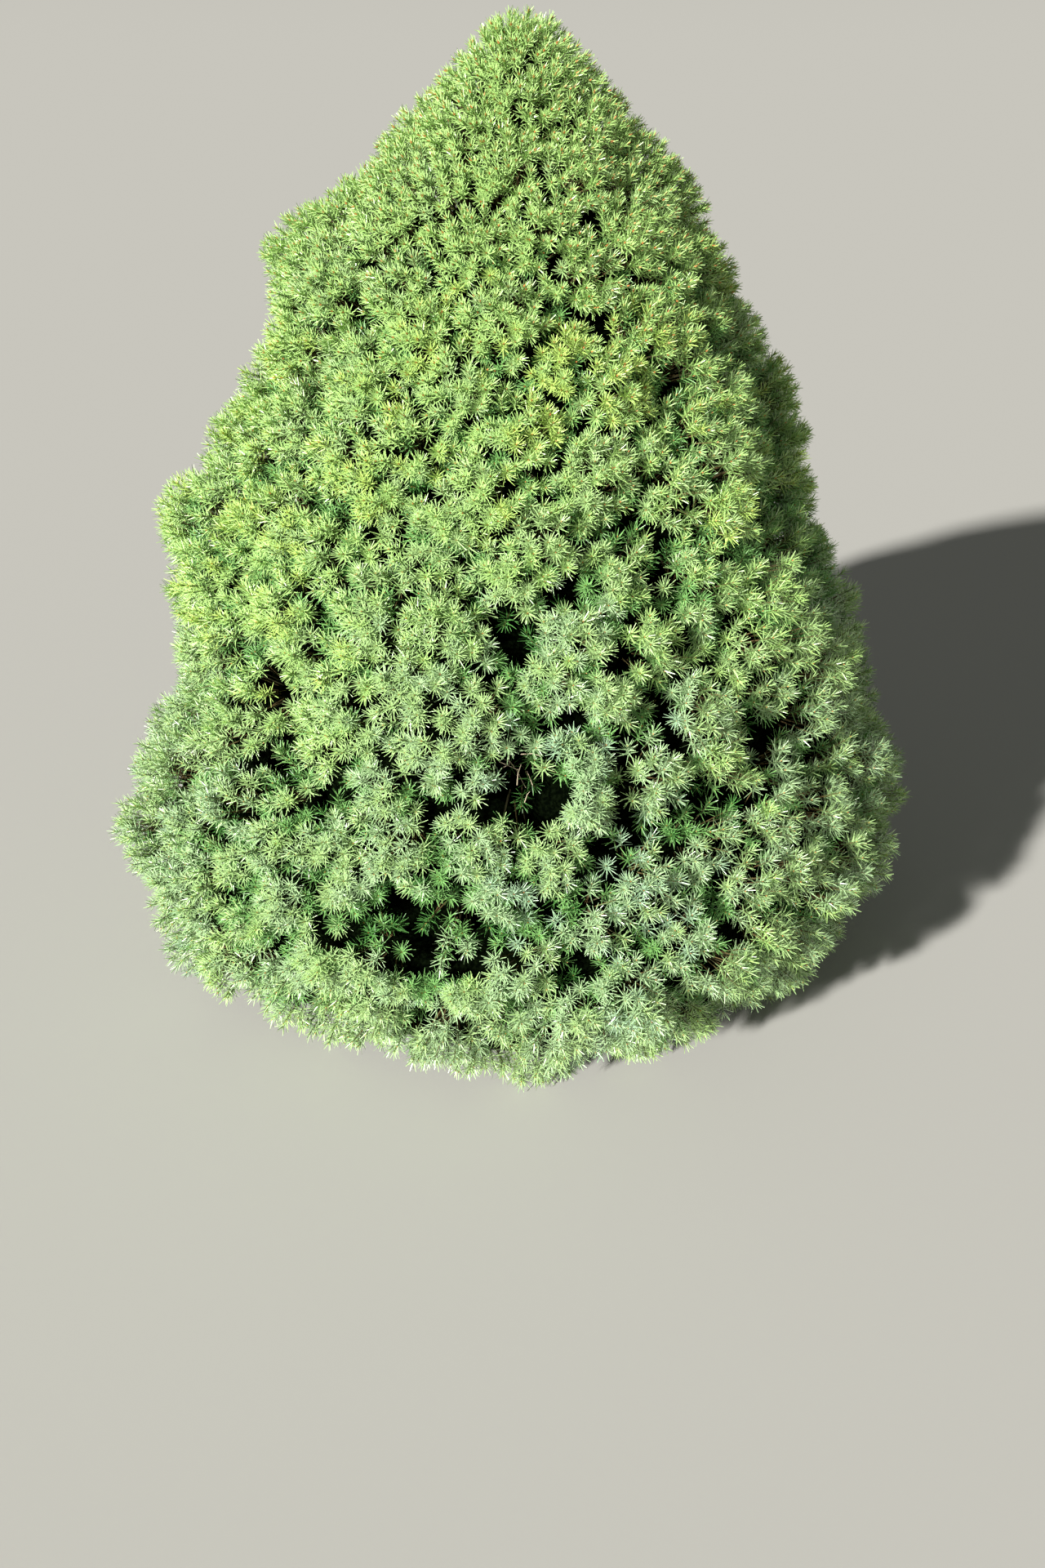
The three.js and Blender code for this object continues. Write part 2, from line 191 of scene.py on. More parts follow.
tiers = [  # azimuth and count place the masses round the trunk, depth is how far in their hearts lie
    {"name": "skirt", "height": 0.112, "count": 8, "azimuth": -10, "depth": 0.185, "limbBase": 0.072},
    {"name": "low", "height": 0.325, "count": 8, "azimuth": 15, "depth": 0.190, "limbBase": 0.165},
    {"name": "waist", "height": 0.575, "count": 7, "azimuth": -27, "depth": 0.180, "limbBase": 0.390},
    {"name": "middle", "height": 0.805, "count": 6, "azimuth": 4, "depth": 0.170, "limbBase": 0.640},
    {"name": "upper", "height": 1.022, "count": 5, "azimuth": -34, "depth": 0.160, "limbBase": 0.880},
    {"name": "shoulder", "height": 1.222, "count": 4, "azimuth": 16, "depth": 0.150, "limbBase": 1.105},
]
boughTiers = ("skirt", "low")
upperTiers = ("middle", "upper", "shoulder", "top")
massRule = {
    "azimuthJitter": 7, "heightJitter": 0.016, "limbBaseJitter": 0.010, "deepestHollow": 0.030,
    "tierPitch": 0.222, "topHeart": 1.420, "topWidth": 0.110,
    "groundGap": 0.0015, "heartBack": 0.8, "rounding": 18,
}


def trunkCentre(height):
    part = np.asarray(height) / trunk["top"]
    x = trunk["lean"] * part**2
    y = trunk["sway"] * np.sin(np.pi * part)
    return np.stack(np.broadcast_arrays(x, y, height), -1)


def trunkRadius(height, angle):
    taper = mix(trunk["footRadius"], trunk["tipRadius"], (height / trunk["top"]) ** trunk["taperPower"])
    flare = trunk["flareRadius"] * np.exp(-height / trunk["flareHeight"])
    return taper + flare * (1 + trunk["lobeDepth"] * np.cos(trunk["flareLobes"] * angle))


def makeMass(tierIndex, index):
    tier = tiers[tierIndex]
    key = tierIndex * 20 + index + 1
    azimuth = tier["azimuth"] + index * 360 / tier["count"] + spread(key, massRule["azimuthJitter"])
    height = tier["height"] + spread(key + 0.37, massRule["heightJitter"])
    reach = crownReach(azimuth, height)
    outline = max(reach, outlineRadius(height) - massRule["deepestHollow"])
    return {
        "name": f"{tier['name']}_{index + 1}", "tier": tier["name"], "key": key, "azimuth": azimuth,
        "heart": crownPoint(azimuth, outline - tier["depth"], height),
        "foot": trunkCentre(tier["limbBase"] + spread(key + 0.71, massRule["limbBaseJitter"])),
        "halfWidth": np.pi * reach / tier["count"], "halfDepth": tier["depth"],
        "back": massRule["heartBack"] * tier["depth"],
    }


masses = [
    makeMass(tierIndex, index)
    for tierIndex, tier in enumerate(tiers) for index in range(tier["count"])
]
leader = trunkCentre(trunk["top"])
masses.append({
    "name": "top", "tier": "top", "key": 141, "azimuth": 0,
    "heart": np.array([leader[0], leader[1], massRule["topHeart"]]), "foot": leader,
    "halfWidth": massRule["topWidth"], "halfDepth": massRule["topWidth"],
    "back": massRule["topHeart"] - trunk["top"] - limb["bareLength"],
})
tierNames = [tier["name"] for tier in tiers] + ["top"]
massHearts = np.array([mass["heart"] for mass in masses])
massTier = np.array([tierNames.index(mass["tier"]) for mass in masses])


def limbPoint(mass, part):
    # along the limb from the trunk to the heart of its mass
    foot, heart = mass["foot"], mass["heart"]
    bend = mix(foot, heart, limb["bend"])
    bend[2] = mix(foot[2], heart[2], limb["rise"])
    part = np.asarray(part, float)[..., None]
    return (1 - part) ** 2 * foot + 2 * part * (1 - part) * bend + part**2 * heart


def stemStart(mass):
    parts = np.linspace(0, 1, limb["samples"])
    away = np.linalg.norm(limbPoint(mass, parts) - mass["heart"], axis=-1)
    return parts[away > mass["back"] + limb["bareLength"]].max()


# Finishes
def linear(value):
    return value / 12.92 if value <= 0.04045 else ((value + 0.055) / 1.055) ** 2.4


def srgb(red, green, blue):
    return [linear(value / 255) for value in (red, green, blue)] + [1]


def plainFinish(name, colour, roughness, specular, coat=0.0, coatRoughness=0.3):
    finish = bpy.data.materials.new(name)
    finish.use_nodes = True
    shader = finish.node_tree.nodes["Principled BSDF"]
    shader.inputs["Base Color"].default_value = srgb(*colour)
    shader.inputs["Roughness"].default_value = roughness
    shader.inputs["Specular IOR Level"].default_value = specular
    shader.inputs["Coat Weight"].default_value = coat
    shader.inputs["Coat Roughness"].default_value = coatRoughness
    return finish


def patternedFinish(name, colours, scale, detail, roughness, specular=0.3, stretch=(1, 1, 1),
                    bump=0.0, bumpDepth=0.002):
    finish = plainFinish(name, colours[0][1], roughness, specular)
    nodes, links = finish.node_tree.nodes, finish.node_tree.links
    shader = nodes["Principled BSDF"]
    place = nodes.new("ShaderNodeTexCoord")
    mapping = nodes.new("ShaderNodeMapping")
    mapping.inputs["Scale"].default_value = stretch
    noise = nodes.new("ShaderNodeTexNoise")
    noise.inputs["Scale"].default_value = scale
    noise.inputs["Detail"].default_value = detail
    ramp = nodes.new("ShaderNodeValToRGB")
    ramp.color_ramp.elements.remove(ramp.color_ramp.elements[1])
    for index, (position, colour) in enumerate(colours):
        stop = ramp.color_ramp.elements[0] if index == 0 else ramp.color_ramp.elements.new(position)
        stop.position = position
        stop.color = srgb(*colour)
    links.new(place.outputs["Object"], mapping.inputs["Vector"])
    links.new(mapping.outputs["Vector"], noise.inputs["Vector"])
    links.new(noise.outputs["Fac"], ramp.inputs["Fac"])
    links.new(ramp.outputs["Color"], shader.inputs["Base Color"])
    if bump:
        grain = nodes.new("ShaderNodeBump")
        grain.inputs["Strength"].default_value = bump
        grain.inputs["Distance"].default_value = bumpDepth
        links.new(noise.outputs["Fac"], grain.inputs["Height"])
        links.new(grain.outputs["Normal"], shader.inputs["Normal"])
    return finish


trunkBark = patternedFinish(
    "trunkBark",
    [(0.30, (62, 50, 42)), (0.48, (104, 86, 72)), (0.62, (128, 108, 90)), (0.75, (150, 136, 120))],
    scale=70, detail=8, roughness=0.92, stretch=(1, 1, 0.45), bump=0.5)
boughBark = patternedFinish(
    "boughBark", [(0.30, (84, 66, 50)), (0.50, (126, 102, 80)), (0.70, (158, 136, 112))],
    scale=130, detail=7, roughness=0.88, bump=0.4)
# painted shade: near-black hearts that fill the gaps between the sprays with dark
innerShade = patternedFinish(
    "innerShade", [(0.40, (2, 4, 2)), (0.52, (5, 9, 3)), (0.64, (9, 15, 6))],
    scale=210, detail=3, roughness=1.0, specular=0.0)


# Meshes
def addPiece(name, points, faces, finishes, finishOf=None, smooth=False, replaced=()):
    mesh = bpy.data.meshes.new(name)
    mesh.vertices.add(len(points))
    mesh.vertices.foreach_set("co", np.ascontiguousarray(points, np.float32).ravel())
    mesh.loops.add(faces.size)
    mesh.loops.foreach_set("vertex_index", np.ascontiguousarray(faces, np.int32).ravel())
    mesh.polygons.add(len(faces))
    mesh.polygons.foreach_set("loop_start", np.arange(0, faces.size, faces.shape[1], dtype=np.int32))
    for finish in finishes:
        mesh.materials.append(finish)
    if finishOf is not None:
        mesh.polygons.foreach_set("material_index", np.ascontiguousarray(finishOf, np.int32))
    mesh.polygons.foreach_set("use_smooth", np.full(len(faces), smooth))
    mesh.update(calc_edges=True)
    piece = bpy.data.objects.new(name, mesh)
    bpy.context.scene.collection.objects.link(piece)
    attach(piece, "root")
    if replaced:
        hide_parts(*replaced)
    return piece


def tubeFaces(count, rings, sides, closed=True):
    # triangles of many tubes at once
    ring = np.arange(rings - 1)[:, None] * sides
    side = np.arange(sides)
    a, b = ring + side, ring + (side + 1) % sides
    wall = np.stack([np.stack([a, b, b + sides], -1), np.stack([a, b + sides, a + sides], -1)], 2)
    fan = np.arange(1, sides - 1)
    foot = np.stack([np.zeros_like(fan), fan + 1, fan], -1)
    tip = np.stack([np.zeros_like(fan), fan, fan + 1], -1) + (rings - 1) * sides
    one = np.concatenate([wall.reshape(-1, 3), foot, tip] if closed else [wall.reshape(-1, 3)])
    return (one + np.arange(count)[:, None, None] * rings * sides).reshape(-1, 3)


def tubes(paths, radii, sides, closed=True):
    # paths is (bars, rings, 3), radii (bars, rings) or (bars, rings, sides)
    tangents = unit(np.gradient(paths, axis=1))
    mean = unit(tangents.mean(axis=1, keepdims=True))
    side, _ = acrossAxes(mean)
    over = unit(np.cross(tangents, side))
    side = np.cross(over, tangents)
    angle = 2 * np.pi * np.arange(sides) / sides
    if radii.ndim == 2:
        radii = radii[..., None]
    rim = side[:, :, None] * np.cos(angle)[:, None] + over[:, :, None] * np.sin(angle)[:, None]
    points = paths[:, :, None] + rim * radii[..., None]
    return points.reshape(-1, 3), tubeFaces(paths.shape[0], paths.shape[1], sides, closed)


# Bark scales: how far they stray from even rows, how much the thinnest lifts, the cracks' width
# in shares of a scale, and the lift that lies level with the wood
flake = {"stray": 0.4, "thinnest": 0.45, "crack": 0.28, "level": 0.6}


def barkFlakes(turn, along, columns, tall, seed):
    # lifted scales with cracks between them, from 0 to 1
    nearest = np.full(np.broadcast(turn, along).shape, 9.0)
    second, lift = nearest.copy(), nearest * 0
    for columnStep in (-1, 0, 1):
        for rowStep in (-1, 0, 1):
            column = np.floor(turn * columns) + columnStep
            row = np.floor(along / tall) + rowStep
            key = (column % columns) * 7.31 + row * 3.77 + seed
            away = np.hypot(turn * columns - column - 0.5 - spread(key, flake["stray"]),
                            along / tall - row - 0.5 - spread(key + 0.5, flake["stray"]))
            second = np.minimum(second, np.maximum(nearest, away))
            lift = np.where(away < nearest, mix(flake["thinnest"], 1, chance(key + 0.9)), lift)
            nearest = np.minimum(nearest, away)
    crack = np.clip((second - nearest) / flake["crack"], 0, 1)
    return lift * crack


def makeTrunk():
    part = np.linspace(0, 1, trunk["rings"])[:, None]
    height = trunk["top"] * part ** trunk["ringCrowding"]
    turn = np.arange(trunk["sides"]) / trunk["sides"]
    angle = 2 * np.pi * turn
    radius = trunkRadius(height, angle)
    relief = barkFlakes(turn, height, trunk["flakeColumns"], trunk["flakeTall"], 5)
    relief = (relief - flake["level"]) * np.sqrt(radius / trunk["footRadius"])
    radius = radius + trunk["flakeLift"] * relief
    centre = trunkCentre(height)
    points = np.stack([centre[..., 0] + radius * np.cos(angle), centre[..., 1] + radius * np.sin(angle),
                       height + 0 * angle], -1).reshape(-1, 3)
    faces = tubeFaces(1, trunk["rings"], trunk["sides"])
    addPiece("trunk_bark", points, faces, [trunkBark], smooth=True, replaced=["trunk"])


def barkLimb(mass, start, end, baseRadius, tipRadius, collar, rings, sides):
    part = np.linspace(start, end, rings)
    path = limbPoint(mass, part)
    along = np.concatenate([[0], np.cumsum(np.linalg.norm(np.diff(path, axis=0), axis=-1))])
    radius = mix(baseRadius, tipRadius, along / along[-1])
    if collar:
        radius = radius * (1 + limb["collar"] * np.exp(-along / limb["collarLength"]))
    turn = np.arange(sides) / sides
    relief = barkFlakes(turn, along[:, None], limb["flakeColumns"], limb["flakeLength"], mass["key"])
    ridges = np.sin(2 * np.pi * turn + limb["ridgeTurns"] * part[:, None])
    radius = radius[:, None] * (1 + limb["ridge"] * ridges)
    radius = radius + limb["flakeLift"] * (relief - flake["level"])
    return tubes(path[None], radius[None], sides)


def joined(parts):
    points, faces, offset = [], [], 0
    for partPoints, partFaces in parts:
        points.append(partPoints)
        faces.append(partFaces + offset)
        offset += len(partPoints)
    return np.concatenate(points), np.concatenate(faces)


def trunkSkin(mass):
    # the place along the limb where it leaves the bark, sunk in a little
    parts = np.linspace(0, 1, limb["samples"])
    path = limbPoint(mass, parts)
    away = np.hypot(*(path - trunkCentre(path[..., 2]))[..., :2].T)
    return parts[away < trunkRadius(path[..., 2], 0) - limb["sunkIn"]].max(initial=0)


def makeLimbs():
    for tierName in tierNames:
        stems = []
        for mass in [mass for mass in masses if mass["tier"] == tierName]:
            start = 0 if tierName == "top" else trunkSkin(mass)
            if tierName in boughTiers:
                end = stemStart(mass)
                points, faces = barkLimb(mass, start, end, limb["boughBase"], limb["boughTip"], True,
                                         limb["rings"], limb["sides"])
                addPiece(f"bark_{mass['name']}", points, faces, [boughBark],
                         smooth=True, replaced=[f"bough_{mass['name']}"])
                stems.append(barkLimb(mass, end, 1, limb["boughTip"], limb["stemTip"], False,
                                      limb["stemRings"], limb["stemSides"]))
            else:
                baseRadius = limb["boughBase"] - limb["stemThinning"] * mass["foot"][2]
                baseRadius = limb["stemBase"] if tierName == "top" else baseRadius
                stems.append(barkLimb(mass, start, 1, baseRadius, limb["stemTip"], tierName != "top",
                                      limb["stemRings"], limb["stemSides"]))
        points, faces = joined(stems)
        addPiece(f"limbs_{tierName}", points, faces, [boughBark], smooth=True)


makeTrunk()
makeLimbs()
print("trunk, boughs and limbs made")

# Shoots: one golden-angle spiral of tips over the crown, shared out to clumps and to the masses' hearts
growth = {
    "shoots": 11800, "shootJitter": 0.016, "tipInset": 0.006, "layers": 0.010, "wallStretch": 1.2,
    "shootSmoothing": 0.06, "clumpSmoothing": 0.10, "wallStep": 0.012, "slimmest": 0.15,
    "clumps": 460, "clumpJitter": 0.034, "clumpDepth": 0.130, "clumpSink": 0.012,
    "clump": {
        "crease": 0.017, "width": 0.010, "corner": 0.026, "cornerWidth": 0.011,
        "dome": 0.021, "radius": 0.062, "edge": 1.1,
    },
    "lumps": 115, "lumpJitter": 0.055,
    "lump": {
        "crease": 0.015, "width": 0.013, "corner": 0.022, "cornerWidth": 0.018,
        "dome": 0.022, "radius": 0.120, "edge": 1.1,
    },
    "skipDepth": 0.086, "skipSpread": 0.012, "deepestHollow": 0.080, "topCalm": 0.25, "domeCalm": 0.6,
    "lowExtra": 0.18, "topExtra": 0.80, "extraFrom": 0.72, "extraTo": 1.00,
    "extraSink": 0.030, "extraTurn": 70,
    "upTilt": 0.28, "topUpTilt": -0.25, "wander": 0.22, "outward": 0.25, "lowestTip": 0.020,
    "brushFrom": 0.80, "brushTo": 1.35, "brushJitter": 0.5, "levelStep": 0.005, "levelMargin": 0.003,
}


def brushPart(height):
    # 0 for the open sprays below, 1 for the upright ones near the top
    return np.clip((height - growth["brushFrom"]) / (growth["brushTo"] - growth["brushFrom"]), 0, 1)


def spiralPlaces(count, jitter, seed):
    step, margin = growth["levelStep"], growth["levelMargin"]
    levels = np.arange(0, crown["top"] + step / 2, step)
    radii = outlineRadius(levels)
    areas = np.concatenate([[0], np.cumsum((radii[1:] + radii[:-1]) * np.hypot(step, np.diff(radii)))])
    index = np.arange(count)
    height = np.interp((index + 0.5) / count * areas[-1], areas, levels)
    jitter = jitter * mix(1, growth["brushJitter"], brushPart(height))
    turn = np.degrees(spread(index * 1.3 + seed, jitter) / np.maximum(outlineRadius(height), 0.1))
    height = height + spread(index * 1.7 + seed + 0.4, jitter)
    return index * goldenAngle + turn, np.clip(height, margin, crown["top"] - margin)


def share(points, centres):
    # the nearest centre to each point, and how far the three nearest are
    away = np.linalg.norm(points[:, None] - centres[None], axis=-1)
    return away.argmin(axis=1), np.sort(np.partition(away, 2, axis=1)[:, :3], axis=1)


def domes(away, form):
    return form["dome"] * np.minimum(away[:, 0] / form["radius"], form["edge"]) ** 2


def creases(away, form):
    # creases where two domes meet and holes where three meet
    edge, corner = (away[:, 1] - away[:, 0]) / 2, (away[:, 2] - away[:, 0]) / 2
    return (form["crease"] * np.exp(-((edge / form["width"]) ** 2))
            + form["corner"] * np.exp(-((corner / form["cornerWidth"]) ** 2)))


def shootPlaces():
    # the steep walls of the hollows stretch the spiral, so a second one fills them in
    # and thickens the upper part
    azimuth, height = spiralPlaces(growth["shoots"], growth["shootJitter"], 3)
    moreAzimuth, moreHeight = spiralPlaces(growth["shoots"], growth["shootJitter"] * 2, 41)
    moreAzimuth = moreAzimuth + growth["extraTurn"]
    step = growth["wallStep"]
    stretch = np.linalg.norm(crownSlope(moreAzimuth, moreHeight, step), axis=-1)
    plain = np.hypot(1, (outlineRadius(moreHeight + step) - outlineRadius(moreHeight - step)) / (2 * step))
    upper = np.clip((moreHeight - growth["extraFrom"]) / (growth["extraTo"] - growth["extraFrom"]), 0, 1)
    extra = mix(growth["lowExtra"], growth["topExtra"], upper)
    more = np.maximum(stretch / plain - growth["wallStretch"], extra)
    added = chance(np.arange(len(stretch)) + 0.83) < more
    deeper = growth["extraSink"] * chance(np.flatnonzero(added) + 0.29)
    return (np.concatenate([azimuth, moreAzimuth[added]]),
            np.concatenate([height, moreHeight[added]]),
            np.concatenate([np.zeros(len(azimuth)), deeper]))


def growShoots():
    azimuth, height, deeper = shootPlaces()
    surface = crownSurface(azimuth, height)
    normal = crownNormal(azimuth, height, growth["shootSmoothing"])
    clumpAzimuth, clumpHeight = spiralPlaces(growth["clumps"], growth["clumpJitter"], 11)
    clumpSurface = crownSurface(clumpAzimuth, clumpHeight)
    clumpNormal = crownNormal(clumpAzimuth, clumpHeight, growth["clumpSmoothing"])
    clumpBase = clumpSurface - clumpNormal * growth["clumpDepth"]
    plain = plainSurface(azimuth, height)
    lumpPlain = plainSurface(*spiralPlaces(growth["lumps"], growth["lumpJitter"], 23))
    clump, clumpAway = share(plain, plainSurface(clumpAzimuth, clumpHeight))
    lumpAway = share(plain, lumpPlain)[1]
    dome = domes(clumpAway, growth["clump"]) + domes(lumpAway, growth["lump"])
    sunk = creases(clumpAway, growth["clump"]) + creases(lumpAway, growth["lump"])
    sunk = sunk + growth["clumpSink"] * chance(clump + 0.13)
    sunk = sunk + growth["layers"] * chance(np.arange(len(sunk)) + 0.57) ** 2
    sunk = sunk + swell(azimuth, height, crown["gaps"])
    ease = np.clip(outlineRadius(height) / crown["narrowTop"], growth["slimmest"], 1)
    calm = np.maximum(brushPart(height), swell(azimuth, height, crown["calm"]))
    dome = dome * ease * mix(1, growth["domeCalm"], calm)
    sunk = sunk * ease * mix(1, growth["topCalm"], calm)
    hollow = np.maximum(outlineRadius(height) - crownReach(azimuth, height), 0)
    sunk = sunk + deeper
    drop = dome + sunk
    tip = surface - normal * (drop + growth["tipInset"])[:, None]
    tip[:, 2] = np.maximum(tip[:, 2], growth["lowestTip"])
    heart = share(clumpSurface, massHearts)[0]
    index = np.arange(len(tip))
    wander = np.stack([spread(index * 2.1 + shift, growth["wander"]) for shift in (0.1, 0.2, 0.3)], -1)
    upTilt = mix(growth["upTilt"], growth["topUpTilt"], brushPart(height))[:, None]
    axis = unit(unit(tip - clumpBase[clump]) + growth["outward"] * normal + upTilt * up + wander)
    deepest = growth["skipDepth"] + growth["skipSpread"] * chance(index + 0.77)
    kept = (drop < deepest) & (hollow < growth["deepestHollow"])
    # sunk, with half the hollow's depth, later picks the darker painted-shade needle tones
    shoots = {"tip": tip, "axis": axis, "clump": clump, "mass": heart[clump],
              "drop": drop, "sunk": sunk + hollow / 2, "key": index}
    shoots = {name: values[kept] for name, values in shoots.items()}
    print("shoots:", kept.sum(), "of", len(kept), "mean drop", round(float(shoots["drop"].mean()), 4))
    return shoots, clumpBase, heart


shoots, clumpBases, clumpMass = growShoots()
shootTier = massTier[shoots["mass"]]

# Needles: narrow tapered blades with a twist, all round the last stretch of each shoot
needle = {
    "perShoot": 28, "topPerShoot": 32, "band": 0.026, "length": 0.0205, "lengthSpread": 0.14,
    "tipShare": 0.72, "topSize": 0.76, "width": 0.00185, "tipWidth": 0.0007, "roll": 35, "twist": 35,
    "tiltTip": 22, "tiltBase": 82, "topTiltBase": 66, "tiltSpread": 9, "lift": 0.10,
    "tiltCurve": 0.55, "bandCurve": 1.25, "clearGround": 0.001,
    "roughness": 0.34, "coatRoughness": 0.30,
    "tones": [  # name, colour, specular, waxy coat
        ("needlesYellow", (188, 219, 118), 0.55, 0.26),
        ("needlesFresh", (180, 218, 131), 0.55, 0.33),
        ("needlesLeaf", (174, 208, 137), 0.60, 0.40),
        ("needlesPale", (172, 205, 151), 0.70, 0.50),
        ("needlesBlue", (162, 197, 158), 0.85, 0.60),
        # the last two tones are darker for the deepest sprays: partly older needles, partly painted shade
        ("needlesDeepOldAndShaded", (126, 178, 102), 0.40, 0.10),
        ("needlesShade", (84, 138, 69), 0.30, 0.0),
    ],
}
tone = {  # which of the needle tones a spray gets, from 0 for the yellowest to 4 for the bluest
    "usual": 1.1, "wave": 0.18, "clumpSpread": 0.6, "spraySpread": 0.8,
    "waves": [(7.3, 0, 2.1, 0.4), (0, -3.7, 9.1, 1.9), (10.03, 8.3, 0, 0)],  # radians a metre, start
    "patches": [  # bluer ones and a yellower one: azimuth, height, width round, tall, lift
        (2, 0.73, 0.26, 0.17, 1.0), (44, 0.85, 0.22, 0.25, 0.8), (-10, 1.165, 0.24, 0.075, -0.9),
    ],
    "blueBelow": 0.68, "blueBlend": 0.40, "blueShare": 1.4,
    "freshFrom": 1.10, "freshBlend": 0.20, "freshShare": 0.6, "fresh": 1, "bluest": 4,
    # sprays sunk past deepFrom and shadeFrom get the two darker tones: painted shade, partly older needles
    "deep": 5, "deepFrom": 0.028, "shade": 6, "shadeFrom": 0.047, "deepSpread": 0.006,
}
needleFinishes = [plainFinish(name, colour, needle["roughness"], specular, coat, needle["coatRoughness"])
                  for name, colour, specular, coat in needle["tones"]]


def sprayTones(tips, clump, sunk, key):
    # patches of yellower and bluer sprays, and the deepest ones darker: partly older needles, partly
    # painted shade
    x, y, z = tips.T
    wave = sum(np.sin(a * x + b * y + c * z + start) for a, b, c, start in tone["waves"])
    patches = swell(azimuthOf(tips), z, tone["patches"])
    low = np.clip((tone["blueBelow"] - z) / tone["blueBlend"] + 0.5, 0, 1)
    value = tone["usual"] + tone["wave"] * wave + patches + tone["blueShare"] * low
    value = value + spread(clump + 0.61, tone["clumpSpread"]) + spread(key * 1.9 + 0.3, tone["spraySpread"])
    fresh = np.clip((z - tone["freshFrom"]) / tone["freshBlend"], 0, 1)
    value = mix(value, tone["fresh"], tone["freshShare"] * fresh)
    tones = np.clip(np.round(value), 0, tone["bluest"])
    # painted shade: the more a spray is sunk, the darker the tone it gets
    sunk = sunk + spread(key * 2.7 + 0.4, tone["deepSpread"])
    tones = np.where(sunk > tone["deepFrom"], tone["deep"], tones)
    return np.where(sunk > tone["shadeFrom"], tone["shade"], tones).astype(int)


def growNeedles(tips, axes, key, count):
    order = (np.arange(count) + 0.5) / count
    seeds = key[:, None] * 3.17 + np.arange(count) * 1.31
    side, over = acrossAxes(axes)
    angle = np.radians(np.arange(count) * goldenAngle + 360 * chance(key + 0.9)[:, None])
    radial = side[:, None] * np.cos(angle)[..., None] + over[:, None] * np.sin(angle)[..., None]
    brush = brushPart(tips[:, 2])[:, None]
    widest = mix(needle["tiltBase"], needle["topTiltBase"], brush)
    tilt = mix(needle["tiltTip"], widest, order ** needle["tiltCurve"])
    tilt = np.radians(tilt + spread(seeds, needle["tiltSpread"]))
    along = axes[:, None] * np.cos(tilt)[..., None] + radial * np.sin(tilt)[..., None]
    along = unit(along + needle["lift"] * up)
    length = needle["length"] * mix(1, needle["topSize"], brush)
    length = length * mix(needle["tipShare"], 1, np.sqrt(order))
    length = (length * (1 + spread(seeds + 0.7, needle["lengthSpread"])))[..., None]
    band = needle["band"] * order ** needle["bandCurve"]
    root = tips[:, None] - axes[:, None] * band[..., None]
    across = unit(np.cross(along, axes[:, None]))
    keel = np.cross(across, along)
    roll = np.radians(spread(seeds + 0.2, needle["roll"]))[..., None]
    turn = roll + np.radians(spread(seeds + 0.6, needle["twist"]))[..., None]
    rootHalf = (across * np.cos(roll) + keel * np.sin(roll)) * needle["width"] / 2
    tipHalf = (across * np.cos(turn) + keel * np.sin(turn)) * needle["tipWidth"] / 2
    end = root + along * length
    points = np.stack([root - rootHalf, root + rootHalf, end + tipHalf, end - tipHalf], 2)
    return points.reshape(-1, 4, 3)


def needleGroups(tierIndex):
    # the masses of a tier, the two big tiers in a front and a back half
    own = np.flatnonzero(massTier == tierIndex)
    if tierNames[tierIndex] not in boughTiers:
        return {tierNames[tierIndex]: own}
    front = massHearts[own][:, 1] < 0
    return {f"{tierNames[tierIndex]}_front": own[front], f"{tierNames[tierIndex]}_back": own[~front]}


def makeNeedles():
    blade = np.array([[0, 1, 2], [0, 2, 3]])
    for tierIndex, tierName in enumerate(tierNames):
        count = needle["topPerShoot"] if tierName in upperTiers else needle["perShoot"]
        for groupName, group in needleGroups(tierIndex).items():
            mine = np.isin(shoots["mass"], group)
            key = shoots["key"][mine]
            points = growNeedles(shoots["tip"][mine], shoots["axis"][mine], key, count)
            tones = sprayTones(shoots["tip"][mine], shoots["clump"][mine], shoots["sunk"][mine], key)
            tones = np.repeat(tones, count)
            above = points[..., 2].min(axis=1) > needle["clearGround"]
            points, tones = points[above], tones[above]
            faces = (np.arange(len(points))[:, None, None] * 4 + blade).reshape(-1, 3)
            replaced = [f"foliage_{masses[index]['name']}" for index in group]
            addPiece(f"needles_{groupName}", points.reshape(-1, 3), faces, needleFinishes,
                     finishOf=np.repeat(tones, 2), replaced=replaced)
            print("needles", groupName, len(faces), "triangles")


makeNeedles()

# Twigs: a branchlet from the limb to each clump, and from there a slim twig to each shoot
twig = {
    "branchBase": 0.0026, "branchTip": 0.0015, "branchSides": 5, "branchRings": 5,
    "limbFrom": 0.62, "forward": 0.35, "outward": 0.30, "upward": 0.10, "curve": 0.5,
    "twigBase": 0.0011, "twigTip": 0.0007, "footBack": 2.2, "footShare": 0.3,
    "bud": 0.0013, "budLength": 0.0042, "budPoint": 0.65, "budStand": 0.0016,
    "topBud": 2.2, "topBudWidth": 1.5,
    "colours": [("twigBrown", (66, 62, 38)), ("twigTan", (106, 92, 56)), ("twigRust", (84, 68, 38))],
    "budColours": [("budOrange", (194, 124, 68)), ("budTan", (192, 156, 100))],
}
twigFinishes = [plainFinish(name, colour, 0.8, 0.3) for name, colour in twig["colours"]]
budFinishes = [plainFinish(name, colour, 0.6, 0.4) for name, colour in twig["budColours"]]


def bentPaths(start, end, leave, rings):
    # a curve from start to end that arrives along a given direction
    part = np.linspace(0, 1, rings)[:, None]
    bend = end - leave
    start, end, bend = start[:, None], end[:, None], bend[:, None]
    return (1 - part) ** 2 * start + 2 * part * (1 - part) * bend + part**2 * end


